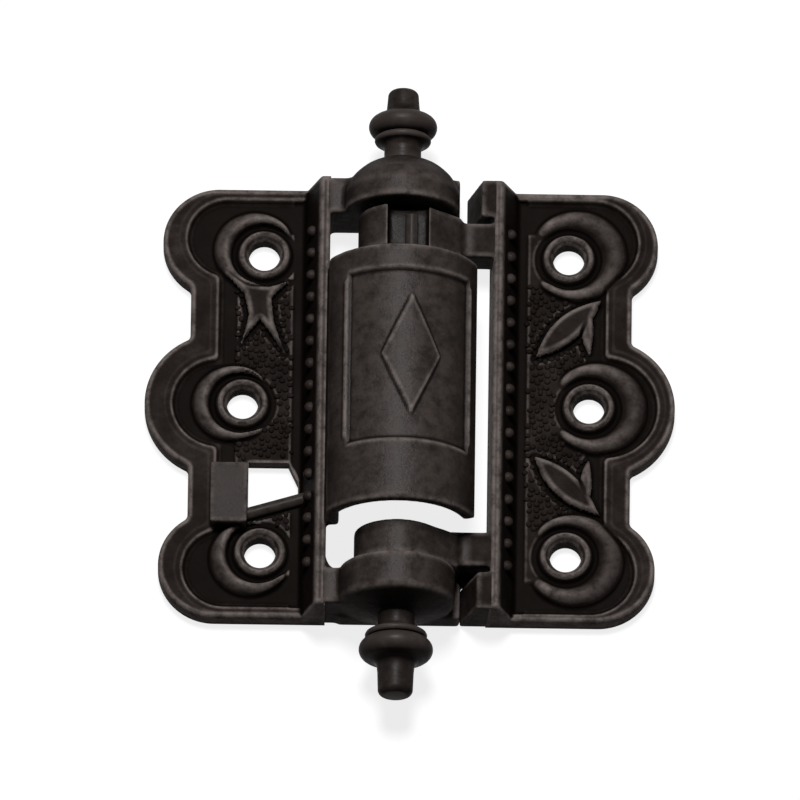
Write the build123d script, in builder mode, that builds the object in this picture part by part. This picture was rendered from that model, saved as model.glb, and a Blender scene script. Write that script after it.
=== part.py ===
from build123d import *
from math import asin, degrees
import os

os.makedirs("parts", exist_ok=True)

# Sizes are in millimetres. X runs across the open hinge, Y along the pin, Z up from the back.
# Distances named reach, foot, rib or hole are measured outward from the pin's axis.
# Distances named past are measured along the pin: a dome from the leaf's end, a bulb from its dome.

# Pin axis
axis_x = -1.5
axis_z = 7.4

# Both leaves
leaf_half = 33.0
ground_z = 2.2
groove_z = 1.5
groove_wide = 1.7
rim_z = 2.9
crescent_z = 3.3
ring_z = 3.6
ring_r = 4.15
screw_r = 2.3
sink_r = 3.25
sink_angle = 82
end_hole_y = 22.9
mid_lobe_r = 10.7
end_lobe_r = 8.1
crescent_outer_r = 6.6
crescent_inner_r = 5.3
crescent_open = 4.2

# Frame leaf
frame_mid_reach = 36.4
frame_end_reach = 34.1
frame_notch_reach = 30.0
frame_rim_mid = 32.5
frame_rim_end = 30.7
frame_rim_notch = 26.1
frame_rim_half = 31.4
frame_rim_mid_r = 6.8
frame_rim_end_r = 6.0
frame_mid_hole = 22.4
frame_end_hole = 19.6
frame_crescent_shift = 1.9
frame_rib_in = 10.2
frame_rib_out = 11.5
frame_rib_foot = 13.8
frame_rib_z = 8.6

# Door leaf
door_mid_reach = 39.4
door_end_reach = 36.75
door_notch_reach = 33.1
door_rim_mid = 37.0
door_rim_end = 34.0
door_rim_notch = 29.5
door_rim_half = 31.9
door_rim_mid_r = 7.8
door_rim_end_r = 6.6
door_mid_hole = 27.1
door_end_hole = 24.0
door_crescent_shift = 1.3
door_back_in = 12.7
door_rib_in = 13.25
door_rib_out = 14.4
door_rib_foot = 16.7
door_rib_z = 7.7
door_corner_in = 9.3
door_corner_top = 11.5

# Beads along the ribs
bead_r = 0.8
bead_pitch = 3.4
bead_count = 16
bead_rise = 0.47

# Shield over the spring
shield_r = 11.5
shield_wall = 1.8
shield_top = 18.5
shield_bottom = -20.7
shield_right_angle = 73
panel_left_angle = 41
panel_right_angle = 58
panel_top = 14.7
panel_bottom = -11.5
panel_depth = 0.45
boss_half_wide = 4.6
boss_half_long = 9.6
boss_middle = 1.6
boss_rise = 0.1
boss_turn = 8.5

# Knuckles on the frame leaf and barrels on the door leaf
knuckle_r = 8.3
knuckle_in = 27.3
top_dome_past = 2.6
bottom_dome_past = 1.2
dome_long = 5.2
dome_r = 2.9
top_dome_y = leaf_half + top_dome_past
bottom_dome_y = leaf_half + bottom_dome_past
barrel_r = 6.2
barrel_top_in = 20.5
barrel_bottom_in = 21.7
barrel_out = 27.0
arm_in = 21.2
arm_out = 26.4
arm_z = 2.0
notch_left = 2.0
notch_right = 3.9
notch_floor = 3.6
web_near = 4.0
web_far = 8.6
web_low = 0.6

# Pins
pin_r = 2.25
pin_clearance = 0.05
top_pin_end = -9.0
bottom_pin_end = -21.9
finial_past = 13.5
finial_tip = leaf_half + finial_past
tip_bevel = 0.6
neck_r = 2.65
neck_gap = 3.3
collar_gap = 1.9
collar_step = 0.85
groove_gap = 1.3
groove_step = 1.05
bulb_half = 1.6
bulb_step = 1.4
stem_gap = 2.1
stem_flare = 0.25
bulb_past = 5.2
top_bulb_y = top_dome_y + bulb_past
top_bulb_r = 4.9
top_stem_r = 2.2
bottom_bulb_y = bottom_dome_y + bulb_past
bottom_bulb_r = 5.3
bottom_stem_r = 2.5

# Spring, its window and the lug for its tail
wire_r = 0.95
coil_r = 5.2
coil_start_y = -10.4
coil_end_y = 18.2
coil_turns = 9
tang_angle = 16
tang_end_y = 25.2
tail_end_u = 23.2
tail_drop = 7.1
slot_clearance = 0.2
slot_z = 3.4
window_near = 14.3
window_far = 21.4
window_top = -9.0
window_corner = 1.4
window_corner_y = 3.0
lug_near = 21.5
lug_far = 26.8
lug_bottom = -19.2
lug_top = -9.9
lug_z = 5.0


def across(side, reach):
    """X of a point at this reach from the pin axis; side is -1 for the frame leaf, 1 for the door leaf."""
    return axis_x + side * reach


def lobed_face(side, inner, mid, end, notch, half, mid_r, end_r):
    """Face of a leaf: a middle lobe, two end lobes and straight notches between them."""
    end_centre = end - end_r
    with BuildSketch() as face:
        with Locations((across(side, (inner + end_centre) / 2), 0)):
            Rectangle(end_centre - inner, 2 * half)
        with Locations((across(side, (inner + notch) / 2), 0)):
            Rectangle(notch - inner, 2 * (half - end_r))
        with Locations((across(side, mid - mid_r), 0)):
            Circle(mid_r)
        with Locations((across(side, end_centre), half - end_r), (across(side, end_centre), end_r - half)):
            Circle(end_r)
    return face.sketch


def groove_band(rim_line):
    """Band inside the rim line that is cut down to the groove's floor."""
    with BuildSketch() as band:
        add(rim_line)
        offset(rim_line, amount=-groove_wide, mode=Mode.SUBTRACT)
    return band.sketch.moved(Location((0, 0, groove_z)))


def crescents(side, mid_hole, end_hole, shift):
    """Raised crescents round the three screw holes, open toward the pin."""
    with BuildSketch() as bands:
        for hole, y in ((mid_hole, 0), (end_hole, end_hole_y), (end_hole, -end_hole_y)):
            with Locations((across(side, hole + shift), y)):
                Circle(crescent_outer_r)
        for hole, y in ((mid_hole, 0), (end_hole, end_hole_y), (end_hole, -end_hole_y)):
            with Locations((across(side, hole), y)):
                Circle(crescent_inner_r, mode=Mode.SUBTRACT)
            with Locations((across(side, hole - crescent_open - crescent_outer_r / 2), y)):
                Rectangle(crescent_outer_r, 2 * crescent_outer_r, mode=Mode.SUBTRACT)
    return bands.sketch


def hole_spots(side, mid_hole, end_hole):
    """The three screw positions of a leaf."""
    return [
        (across(side, end_hole), end_hole_y),
        (across(side, mid_hole), 0),
        (across(side, end_hole), -end_hole_y),
    ]


def blade(side, stem, tip, near_bow, far_bow):
    """One leaf blade between its stem and its tip, bowed out on both sides."""
    with BuildSketch() as leaf_blade:
        with BuildLine():
            ThreePointArc(
                (across(side, stem[0]), stem[1]),
                (across(side, near_bow[0]), near_bow[1]),
                (across(side, tip[0]), tip[1]),
            )
            ThreePointArc(
                (across(side, tip[0]), tip[1]),
                (across(side, far_bow[0]), far_bow[1]),
                (across(side, stem[0]), stem[1]),
            )
        make_face()
    return leaf_blade.sketch


# Plane through the pin axis for turned profiles, and the axis itself
turning_plane = Plane(origin=(axis_x, 0, axis_z), x_dir=(1, 0, 0), z_dir=(0, 0, 1))
section_plane = Plane(origin=(axis_x, 0, axis_z), x_dir=(1, 0, 0), z_dir=(0, -1, 0))
pin_axis = Axis((axis_x, 0, axis_z), (0, 1, 0))
bore_r = pin_r + pin_clearance

# Path of the spring's tail, from the back of the coil to the lug
tail_start = Vector(axis_x, coil_start_y, axis_z - coil_r)
tail_end = Vector(across(-1, tail_end_u), coil_start_y - tail_drop, axis_z - coil_r)
tail_way = tail_end - tail_start
tail_plane = Plane(origin=tail_end, x_dir=(tail_start - tail_end).normalized(), z_dir=(0, 0, 1))

# Frame leaf: plate, rim and raised ornament
with BuildPart() as frame_leaf:
    frame_face = lobed_face(
        -1,
        frame_rib_in,
        frame_mid_reach,
        frame_end_reach,
        frame_notch_reach,
        leaf_half,
        mid_lobe_r,
        end_lobe_r,
    )
    frame_rim_line = lobed_face(
        -1,
        frame_rib_in,
        frame_rim_mid,
        frame_rim_end,
        frame_rim_notch,
        frame_rim_half,
        frame_rim_mid_r,
        frame_rim_end_r,
    )
    extrude(to_extrude=frame_face, amount=ground_z)
    extrude(to_extrude=frame_face - frame_rim_line, amount=rim_z)
    extrude(to_extrude=groove_band(frame_rim_line), amount=rim_z, mode=Mode.SUBTRACT)
    extrude(to_extrude=crescents(-1, frame_mid_hole, frame_end_hole, frame_crescent_shift), amount=crescent_z)
    with BuildSketch():
        with Locations(*hole_spots(-1, frame_mid_hole, frame_end_hole)):
            Circle(ring_r)
    extrude(amount=ring_z)
    extrude(to_extrude=blade(-1, (21.0, 17.6), (22.2, 9.5), (20.6, 13.6), (22.6, 13.9)), amount=crescent_z)
    extrude(to_extrude=blade(-1, (21.0, 17.6), (16.6, 7.6), (18.0, 13.4), (19.8, 12.4)), amount=crescent_z)
    extrude(to_extrude=blade(-1, (21.0, 17.2), (16.2, 18.4), (18.7, 18.5), (18.5, 16.6)), amount=crescent_z)
    extrude(to_extrude=blade(-1, (25.2, 19.8), (19.8, 15.6), (22.9, 16.8), (22.0, 18.6)), amount=crescent_z)

    # Lug that holds the spring's tail
    with BuildSketch():
        with Locations((across(-1, (lug_near + lug_far) / 2), (lug_bottom + lug_top) / 2)):
            Rectangle(lug_far - lug_near, lug_top - lug_bottom)
    extrude(amount=lug_z)

    # Rib with its beads
    with BuildSketch(Plane.XZ):
        with BuildLine():
            Polyline(
                (across(-1, frame_rib_in), 0),
                (across(-1, frame_rib_in), frame_rib_z),
                (across(-1, frame_rib_out), frame_rib_z),
                (across(-1, frame_rib_foot), ground_z),
                (across(-1, frame_rib_foot), 0),
                close=True,
            )
        make_face()
    extrude(amount=leaf_half, both=True)
    frame_bead_x = across(-1, (frame_rib_out + frame_rib_foot) / 2)
    with Locations((frame_bead_x, 0, ground_z + bead_rise * (frame_rib_z - ground_z))):
        with GridLocations(bead_pitch, bead_pitch, 1, bead_count):
            Sphere(bead_r)

    # Shield, curved round the pin axis and joined to the rib by a wall
    shield_left_angle = degrees(asin(frame_rib_in / shield_r))
    shield_left_z = (shield_r**2 - frame_rib_in**2) ** 0.5
    shield_sweep = shield_left_angle + shield_right_angle
    with BuildSketch(section_plane.offset(-shield_top)):
        with BuildLine():
            outer_arc = CenterArc((0, 0), shield_r, 90 - shield_right_angle, shield_sweep)
            inner_arc = CenterArc((0, 0), shield_r - shield_wall, 90 - shield_right_angle, shield_sweep)
            Line(outer_arc @ 0, inner_arc @ 0)
            Line(outer_arc @ 1, inner_arc @ 1)
        make_face()
        with Locations((shield_wall / 2 - frame_rib_in, (shield_left_z - axis_z) / 2)):
            Rectangle(shield_wall, shield_left_z + axis_z)
        with Locations(((shield_wall - frame_rib_in - frame_rib_out) / 2, frame_rib_z / 2 - axis_z)):
            Rectangle(shield_wall + frame_rib_out - frame_rib_in, frame_rib_z)
    extrude(amount=shield_top - shield_bottom)

    # Knuckles: turned, domed at the outer end, square down to the back
    for end, dome_y in ((-1, bottom_dome_y), (1, top_dome_y)):
        shoulder = dome_y - dome_long
        with BuildSketch(turning_plane):
            with BuildLine():
                Polyline(
                    (0, end * knuckle_in),
                    (knuckle_r, end * knuckle_in),
                    (knuckle_r, end * shoulder),
                )
                Spline(
                    (knuckle_r, end * shoulder),
                    (0.78 * knuckle_r, end * (dome_y - 0.4 * dome_long)),
                    (dome_r, end * dome_y),
                    tangents=[(0, end), (-1, end * 0.4)],
                )
                Polyline((dome_r, end * dome_y), (0, end * dome_y), (0, end * knuckle_in))
            make_face()
        revolve(axis=pin_axis)
        with BuildSketch():
            with Locations((axis_x, end * (knuckle_in + leaf_half) / 2)):
                Rectangle(2 * knuckle_r, leaf_half - knuckle_in)
        extrude(amount=axis_z)
        with BuildSketch():
            with Locations((across(-1, frame_rib_in / 2), end * (knuckle_in + leaf_half) / 2)):
                Rectangle(frame_rib_in, leaf_half - knuckle_in)
        extrude(amount=axis_z)
        with BuildSketch():
            with Locations((across(-1, (knuckle_r + frame_rib_in) / 2), end * (knuckle_in + leaf_half) / 2)):
                Rectangle(frame_rib_in - knuckle_r, leaf_half - knuckle_in)
        extrude(amount=frame_rib_z)
    with Locations((axis_x, 0, -5)):
        Box(100, 100, 10, mode=Mode.SUBTRACT)

    # Sunk panel of the shield with a plain lozenge boss
    panel_sweep = panel_left_angle + panel_right_angle
    panel_floor_r = shield_r - panel_depth
    with BuildSketch(section_plane.offset(-panel_top)):
        with BuildLine():
            panel_out = CenterArc((0, 0), shield_r + 1, 90 - panel_right_angle, panel_sweep)
            panel_in = CenterArc((0, 0), panel_floor_r, 90 - panel_right_angle, panel_sweep)
            Line(panel_out @ 0, panel_in @ 0)
            Line(panel_out @ 1, panel_in @ 1)
        make_face()
    extrude(amount=panel_top - panel_bottom, mode=Mode.SUBTRACT)
    with BuildPart(mode=Mode.PRIVATE) as boss:
        with BuildSketch(section_plane):
            Circle(shield_r + boss_rise)
            Circle(panel_floor_r - panel_depth, mode=Mode.SUBTRACT)
        extrude(amount=boss_half_long + boss_middle, both=True)
        with BuildSketch(Plane.XY.offset(axis_z)):
            with BuildLine():
                Polyline(
                    (axis_x - boss_half_wide, boss_middle),
                    (axis_x, boss_middle + boss_half_long),
                    (axis_x + boss_half_wide, boss_middle),
                    (axis_x, boss_middle - boss_half_long),
                    close=True,
                )
            make_face()
        extrude(amount=2 * shield_r, mode=Mode.INTERSECT)
    add(boss.part.rotate(pin_axis, boss_turn))

    # Screw holes, pin bores, window and the slot for the tail
    with Locations(*[(x, y, ring_z) for x, y in hole_spots(-1, frame_mid_hole, frame_end_hole)]):
        CounterSinkHole(radius=screw_r, counter_sink_radius=sink_r, counter_sink_angle=sink_angle)
    with BuildSketch(Plane.XZ):
        with Locations((axis_x, axis_z)):
            Circle(bore_r)
    extrude(amount=top_dome_y + 1, both=True, mode=Mode.SUBTRACT)
    tail_slope = tail_drop / tail_end_u
    with BuildSketch():
        with BuildLine():
            Polyline(
                (across(-1, window_far), window_top),
                (across(-1, window_near + window_corner), window_top),
                (across(-1, window_near), window_top - window_corner_y),
                (across(-1, window_near), coil_start_y - tail_slope * window_near),
                (across(-1, window_far), coil_start_y - tail_slope * window_far),
                close=True,
            )
        make_face()
    extrude(amount=lug_z, mode=Mode.SUBTRACT)
    slot_wide = 2 * (wire_r + slot_clearance)
    slot_long = tail_way.length - knuckle_r + 2 * wire_r
    with BuildSketch(tail_plane):
        with Locations((slot_long / 2 - wire_r - slot_clearance, 0)):
            Rectangle(slot_long, slot_wide)
    extrude(amount=slot_z - tail_end.Z, mode=Mode.SUBTRACT)
    with BuildSketch(tail_plane):
        with Locations((slot_long / 2 - wire_r - slot_clearance, 0)):
            Rectangle(slot_long, slot_wide)
    extrude(amount=-tail_end.Z, mode=Mode.SUBTRACT)
frame_leaf.part.label = "frame_leaf"
export_step(frame_leaf.part, "parts/frame_leaf.step")

# Door leaf: plate, rim and raised ornament
with BuildPart() as door_leaf:
    door_face = lobed_face(
        1, door_back_in, door_mid_reach, door_end_reach, door_notch_reach, leaf_half, mid_lobe_r, end_lobe_r
    )
    door_rim_line = lobed_face(
        1,
        door_back_in,
        door_rim_mid,
        door_rim_end,
        door_rim_notch,
        door_rim_half,
        door_rim_mid_r,
        door_rim_end_r,
    )
    extrude(to_extrude=door_face, amount=ground_z)
    extrude(to_extrude=door_face - door_rim_line, amount=rim_z)
    extrude(to_extrude=groove_band(door_rim_line), amount=rim_z, mode=Mode.SUBTRACT)
    extrude(to_extrude=crescents(1, door_mid_hole, door_end_hole, door_crescent_shift), amount=crescent_z)
    with BuildSketch():
        with Locations(*hole_spots(1, door_mid_hole, door_end_hole)):
            Circle(ring_r)
    extrude(amount=ring_z)
    for end in (-1, 1):
        long_blade = blade(1, (25.9, end * 15.6), (19.8, end * 7.0), (21.6, end * 11.8), (24.4, end * 10.6))
        short_blade = blade(1, (25.9, end * 15.6), (27.2, end * 8.0), (25.4, end * 11.4), (26.8, end * 11.6))
        extrude(to_extrude=long_blade, amount=crescent_z)
        extrude(to_extrude=short_blade, amount=crescent_z)

    # Rib with its beads, and the corners that pass the knuckles
    with BuildSketch(Plane.XZ):
        with BuildLine():
            Polyline(
                (across(1, door_back_in), 0),
                (across(1, door_rib_in), door_rib_z),
                (across(1, door_rib_out), door_rib_z),
                (across(1, door_rib_foot), ground_z),
                (across(1, door_rib_foot), 0),
                close=True,
            )
        make_face()
    extrude(amount=leaf_half, both=True)
    door_bead_x = across(1, (door_rib_out + door_rib_foot) / 2)
    with Locations((door_bead_x, 0, ground_z + bead_rise * (door_rib_z - ground_z))):
        with GridLocations(bead_pitch, bead_pitch, 1, bead_count):
            Sphere(bead_r)
    for end in (-1, 1):
        with BuildSketch(Plane.XZ.offset(-end * knuckle_in)):
            with BuildLine():
                Polyline(
                    (across(1, door_corner_in), 0),
                    (across(1, door_corner_top), door_rib_z),
                    (across(1, door_rib_out), door_rib_z),
                    (across(1, door_rib_out), 0),
                    close=True,
                )
            make_face()
        extrude(amount=end * (knuckle_in - leaf_half))

    # Barrels on their arms
    for end, barrel_in in ((1, barrel_top_in), (-1, barrel_bottom_in)):
        with BuildSketch(Plane.XZ.offset(-end * barrel_in)):
            with Locations((axis_x, axis_z)):
                Circle(barrel_r)
        extrude(amount=end * (barrel_in - barrel_out))
        with BuildSketch(Plane.XZ.offset(-end * barrel_in)):
            with BuildLine():
                Polyline(
                    (axis_x + web_near, axis_z + (barrel_r**2 - web_near**2) ** 0.5),
                    (axis_x + web_far, axis_z + web_low),
                    (axis_x + web_far, arm_z),
                    (axis_x + web_near, arm_z),
                    close=True,
                )
            make_face()
        extrude(amount=end * (barrel_in - barrel_out))
        with BuildSketch(Plane.XY.offset(arm_z)):
            with Locations((across(1, door_rib_out / 2), end * (arm_in + arm_out) / 2)):
                Rectangle(door_rib_out, arm_out - arm_in)
        extrude(amount=axis_z - arm_z)
        with BuildSketch(Plane.XZ.offset(-end * barrel_in)):
            with Locations((axis_x, axis_z)):
                Circle(bore_r)
        extrude(amount=end * (barrel_in - barrel_out), mode=Mode.SUBTRACT)

    # Notch for the spring's tang
    with BuildSketch(Plane.XY.offset(axis_z + notch_floor)):
        with Locations((axis_x + (notch_right - notch_left) / 2, (barrel_top_in + barrel_out) / 2)):
            Rectangle(notch_left + notch_right, barrel_out - barrel_top_in)
    extrude(amount=barrel_r, mode=Mode.SUBTRACT)

    # Screw holes
    with Locations(*[(x, y, ring_z) for x, y in hole_spots(1, door_mid_hole, door_end_hole)]):
        CounterSinkHole(radius=screw_r, counter_sink_radius=sink_r, counter_sink_angle=sink_angle)
door_leaf.part.label = "door_leaf"
export_step(door_leaf.part, "parts/door_leaf.step")


def turned_pin(end, inner_end, dome_y, bulb_y, bulb_r, stem_r):
    """Outline of a pin and its finial: half of a turned section, from the inner end to the tip."""
    with BuildSketch(turning_plane) as section:
        with BuildLine():
            Polyline(
                (0, inner_end),
                (pin_r, inner_end),
                (pin_r, end * dome_y),
                (neck_r, end * dome_y),
                (neck_r, end * (bulb_y - neck_gap)),
                (bulb_r - collar_step, end * (bulb_y - collar_gap)),
                (bulb_r - groove_step, end * (bulb_y - groove_gap)),
            )
            ThreePointArc(
                (bulb_r - groove_step, end * (bulb_y - groove_gap)),
                (bulb_r, end * bulb_y),
                (bulb_r - bulb_step, end * (bulb_y + bulb_half)),
            )
            Polyline(
                (bulb_r - bulb_step, end * (bulb_y + bulb_half)),
                (stem_r + stem_flare, end * (bulb_y + stem_gap)),
                (stem_r, end * (finial_tip - tip_bevel)),
                (stem_r - tip_bevel, end * finial_tip),
                (0, end * finial_tip),
                (0, inner_end),
            )
        make_face()
    return section.sketch


# Top pin with its finial
with BuildPart() as top_pin:
    add(turned_pin(1, top_pin_end, top_dome_y, top_bulb_y, top_bulb_r, top_stem_r))
    revolve(axis=pin_axis)
top_pin.part.label = "top_pin"
export_step(top_pin.part, "parts/top_pin.step")

# Bottom pin with its finial
with BuildPart() as bottom_pin:
    add(turned_pin(-1, bottom_pin_end, bottom_dome_y, bottom_bulb_y, bottom_bulb_r, bottom_stem_r))
    revolve(axis=pin_axis)
bottom_pin.part.label = "bottom_pin"
export_step(bottom_pin.part, "parts/bottom_pin.step")

# Torsion spring: coil, tail to the lug, tang in the notch
coil_height = coil_end_y - coil_start_y
all_turns = coil_turns + (180 - tang_angle) / 360
coil_foot = (axis_x, coil_start_y, axis_z)
with BuildPart() as spring:
    with BuildLine() as coil_path:
        coil = Helix(
            coil_height / all_turns,
            coil_height,
            coil_r,
            center=coil_foot,
            direction=(0, 1, 0),
            lefthand=True,
            mode=Mode.PRIVATE,
        )
        add(coil.rotate(pin_axis, 180))
    with BuildSketch(Plane(origin=coil_path.line @ 0, z_dir=coil_path.line % 0)):
        Circle(wire_r)
    sweep(path=coil_path.line)
    with BuildSketch(Plane(origin=tail_start, z_dir=tail_way.normalized())):
        Circle(wire_r)
    extrude(amount=tail_way.length)
    tang_start = coil_path.line @ 1
    with BuildSketch(Plane(origin=tang_start, z_dir=(0, 1, 0))):
        Circle(wire_r)
    extrude(amount=tang_end_y - coil_end_y)
    with Locations(tail_start, tang_start):
        Sphere(wire_r)
spring.part.label = "spring"
export_step(spring.part, "parts/spring.step")
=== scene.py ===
# %% [markdown]
# # A cast-iron screen door hinge
# This lesson dresses the imported hinge for a portrait. The hinge is a pair of scalloped leaves cast in
# iron, joined on a pin, with a curved shield over the spring that shuts the door. The imported model
# gives the frame: every piece below is built in that frame, in metres, and all but the spring ride on one
# of its bodies.

# %% Load the imported hinge
import math
import bmesh
import bpy
import numpy as np
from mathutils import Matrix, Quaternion, Vector
from mathutils.geometry import delaunay_2d_cdt


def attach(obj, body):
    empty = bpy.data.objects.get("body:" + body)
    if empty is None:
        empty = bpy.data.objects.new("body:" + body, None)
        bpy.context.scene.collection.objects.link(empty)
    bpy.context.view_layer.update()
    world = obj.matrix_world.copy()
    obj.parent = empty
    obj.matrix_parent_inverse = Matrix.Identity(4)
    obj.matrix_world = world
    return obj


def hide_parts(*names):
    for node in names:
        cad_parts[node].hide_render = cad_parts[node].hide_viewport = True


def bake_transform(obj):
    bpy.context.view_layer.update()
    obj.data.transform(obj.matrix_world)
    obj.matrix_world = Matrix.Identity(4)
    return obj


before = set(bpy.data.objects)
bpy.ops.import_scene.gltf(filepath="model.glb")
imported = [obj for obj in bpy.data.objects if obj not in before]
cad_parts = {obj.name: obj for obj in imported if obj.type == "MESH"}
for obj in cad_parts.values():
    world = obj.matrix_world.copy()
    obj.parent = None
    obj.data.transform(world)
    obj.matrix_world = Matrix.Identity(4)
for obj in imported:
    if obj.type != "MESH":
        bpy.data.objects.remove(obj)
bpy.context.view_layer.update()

# %% [markdown]
# ## Working sizes
# A hinge maker works in millimetres from the pin, so the lesson does too. A point on a leaf is given
# by its reach from the pin's axis and its place along the pin. Only the last step, when a mesh is
# made, turns millimetres into metres.

# %% Sizes in millimetres
MM = 0.001
AXIS_X, AXIS_Z = -1.5, 7.4
LEAF_HALF = 33.0
GROUND_Z, GROOVE_Z, DISH_Z, RIM_Z, CRESCENT_Z, LIP_Z = 2.2, 1.4, 1.7, 2.9, 3.3, 3.35
SCREW_R, LIP_R, DISH_R = 2.25, 3.2, 4.4
END_HOLE_Y, LOBE_Y = 22.9, 20.0
COIL_LOW, TAIL_REACH, TAIL_DROP = -10.4, 23.2, 7.1
TAIL_SLOPE = TAIL_DROP / TAIL_REACH
GRID = 0.2

FRAME_LEAF = dict(
    side=-1,
    edge=dict(mid=36.4, end=34.1, notch=30.0, half=LEAF_HALF, mid_r=10.7, end_r=8.1),
    rim=dict(mid=32.5, end=30.7, notch=26.1, half=31.4, mid_r=6.8, end_r=6.0),
    holes=[(19.6, END_HOLE_Y), (22.4, 0.0), (19.6, -END_HOLE_Y)],
    crescent=dict(shift=1.5, lean=0.04, inner=4.45, outer=6.1, crest=0.38),
    rib=dict(inner=10.2, outer=11.5, foot=13.8, top=8.6, channel=15.2, back=10.2),
    beads_at=12.65,
)
DOOR_LEAF = dict(
    side=1,
    edge=dict(mid=39.4, end=36.75, notch=33.1, half=LEAF_HALF, mid_r=10.7, end_r=8.1),
    rim=dict(mid=37.0, end=34.0, notch=29.5, half=31.9, mid_r=7.8, end_r=6.6),
    holes=[(24.0, END_HOLE_Y), (27.1, 0.0), (24.0, -END_HOLE_Y)],
    crescent=dict(shift=1.3, lean=0.025, inner=4.35, outer=7.4, crest=0.5),
    rib=dict(inner=13.25, outer=14.4, foot=16.7, top=7.7, channel=18.0, back=12.7),
    beads_at=15.55,
)
print("open width", FRAME_LEAF["edge"]["mid"] + DOOR_LEAF["edge"]["mid"], "mm")

# %% [markdown]
# ## Making a mesh into a piece
# Each piece is a plain mesh at the origin. The helpers take millimetre points, turn the faces outward,
# shade them smooth and keep edges sharp only where two faces meet at a steep angle. Another helper
# keeps a number for each point of a piece, so that its finish can follow its form.


# %% Helpers: a finished piece and its marks
def link_object(name, data):
    thing = bpy.data.objects.new(name, data)
    bpy.context.scene.collection.objects.link(thing)
    return thing


def dress_mesh(mesh, name, sharp_deg):
    work = bmesh.new()
    work.from_mesh(mesh)
    bmesh.ops.remove_doubles(work, verts=work.verts, dist=1e-6)
    bmesh.ops.recalc_face_normals(work, faces=work.faces)
    work.to_mesh(mesh)
    work.free()
    mesh.shade_smooth()
    mesh.set_sharp_from_angle(angle=math.radians(sharp_deg))
    print(name, len(mesh.vertices), "points", len(mesh.polygons), "faces")
    return link_object(name, mesh)


def make_piece(name, points_mm, faces, sharp_deg):
    mesh = bpy.data.meshes.new(name)
    points = np.asarray(points_mm, float) * MM
    mesh.from_pydata(points.tolist(), [], [list(map(int, f)) for f in faces])
    return dress_mesh(mesh, name, sharp_deg)


def mark(piece, label, values):
    marks = piece.data.attributes.new(label, "FLOAT", "POINT")
    marks.data.foreach_set("value", np.asarray(values).astype(np.float32))


def across(side, reach):
    return AXIS_X + side * np.asarray(reach, float)


print("a reach of 10 mm: frame leaf x", across(-1, 10.0), "and door leaf x", across(1, 10.0))

# %% [markdown]
# ## The scalloped outline
# Seen from the front, a leaf has one lobe in the middle, one at each end and straight notches between
# them, so that each screw hole has iron all round it. A depth function says how far inside the edge a
# point lies: the largest of the depths in two bars and three discs, with the corners between them
# softened. The same rule with smaller numbers gives the line where the flat rim stops.


# %% Depth inside the outline
def soft_max(a, b, soft):
    t = np.clip(0.5 + 0.5 * (a - b) / soft, 0, 1)
    return b + (a - b) * t + soft * t * (1 - t)


def lobed_depth(u, v, shape, soft=0.5):
    """How far a point lies inside the scalloped line: below zero is outside."""
    v = np.abs(v)
    end_u, end_v = shape["end"] - shape["end_r"], shape["half"] - shape["end_r"]
    end_bar = np.minimum(end_u - u, shape["half"] - v)
    end_lobe = shape["end_r"] - np.hypot(u - end_u, v - end_v)
    end_lobe = np.where((u > end_u) & (v > end_v), end_lobe, np.maximum(end_lobe, end_bar))
    notch_bar = np.minimum(shape["notch"] - u, end_v - v)
    mid_lobe = shape["mid_r"] - np.hypot(u - shape["mid"] + shape["mid_r"], v)
    return soft_max(soft_max(notch_bar, end_lobe, soft), mid_lobe, soft)


def inside_distance(points, loop):
    """Distance to a small closed loop, positive inside it."""
    a, b = loop, np.roll(loop, -1, axis=0)
    best = np.full(len(points), 1e9)
    crossings = np.zeros(len(points), int)
    for start, stop in zip(a, b):
        span = stop - start
        rel = points - start
        t = np.clip(rel @ span / max(span @ span, 1e-12), 0, 1)
        best = np.minimum(best, np.hypot(*(rel - t[:, None] * span).T))
        above = (start[1] > points[:, 1]) != (stop[1] > points[:, 1])
        if abs(span[1]) > 1e-12:
            at = start[0] + (points[:, 1] - start[1]) / span[1] * span[0]
            crossings += above & (points[:, 0] < at)
    return np.where(crossings % 2 == 1, best, -best)


middle_hole = FRAME_LEAF["holes"][1]
print("iron round the middle hole", round(float(lobed_depth(*middle_hole, FRAME_LEAF["edge"])), 1), "mm")

# %% [markdown]
# ## Points round the edge
# The mesh needs points that lie exactly on the outline. They are set out on bars and arcs, as with a
# ruler and compasses, and then nudged a few times along the slope of the depth until it is zero.


# %% Loops of points
NUDGE, NUDGES = 1e-3, 4


def arc(centre_u, centre_v, radius, start, stop, step=GRID):
    count = max(4, int(abs(stop - start) * radius / step))
    angles = np.linspace(start, stop, count)
    return np.column_stack([centre_u + radius * np.cos(angles), centre_v + radius * np.sin(angles)])


def run(a, b, step=GRID):
    a, b = np.asarray(a, float), np.asarray(b, float)
    count = max(2, int(np.linalg.norm(b - a) / step) + 1)
    return a + (b - a) * np.linspace(0, 1, count)[:, None]


def hole_loop(u, v, radius, step=0.25):
    return arc(u, v, radius, 0, 2 * math.pi, step)[:-1]


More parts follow.
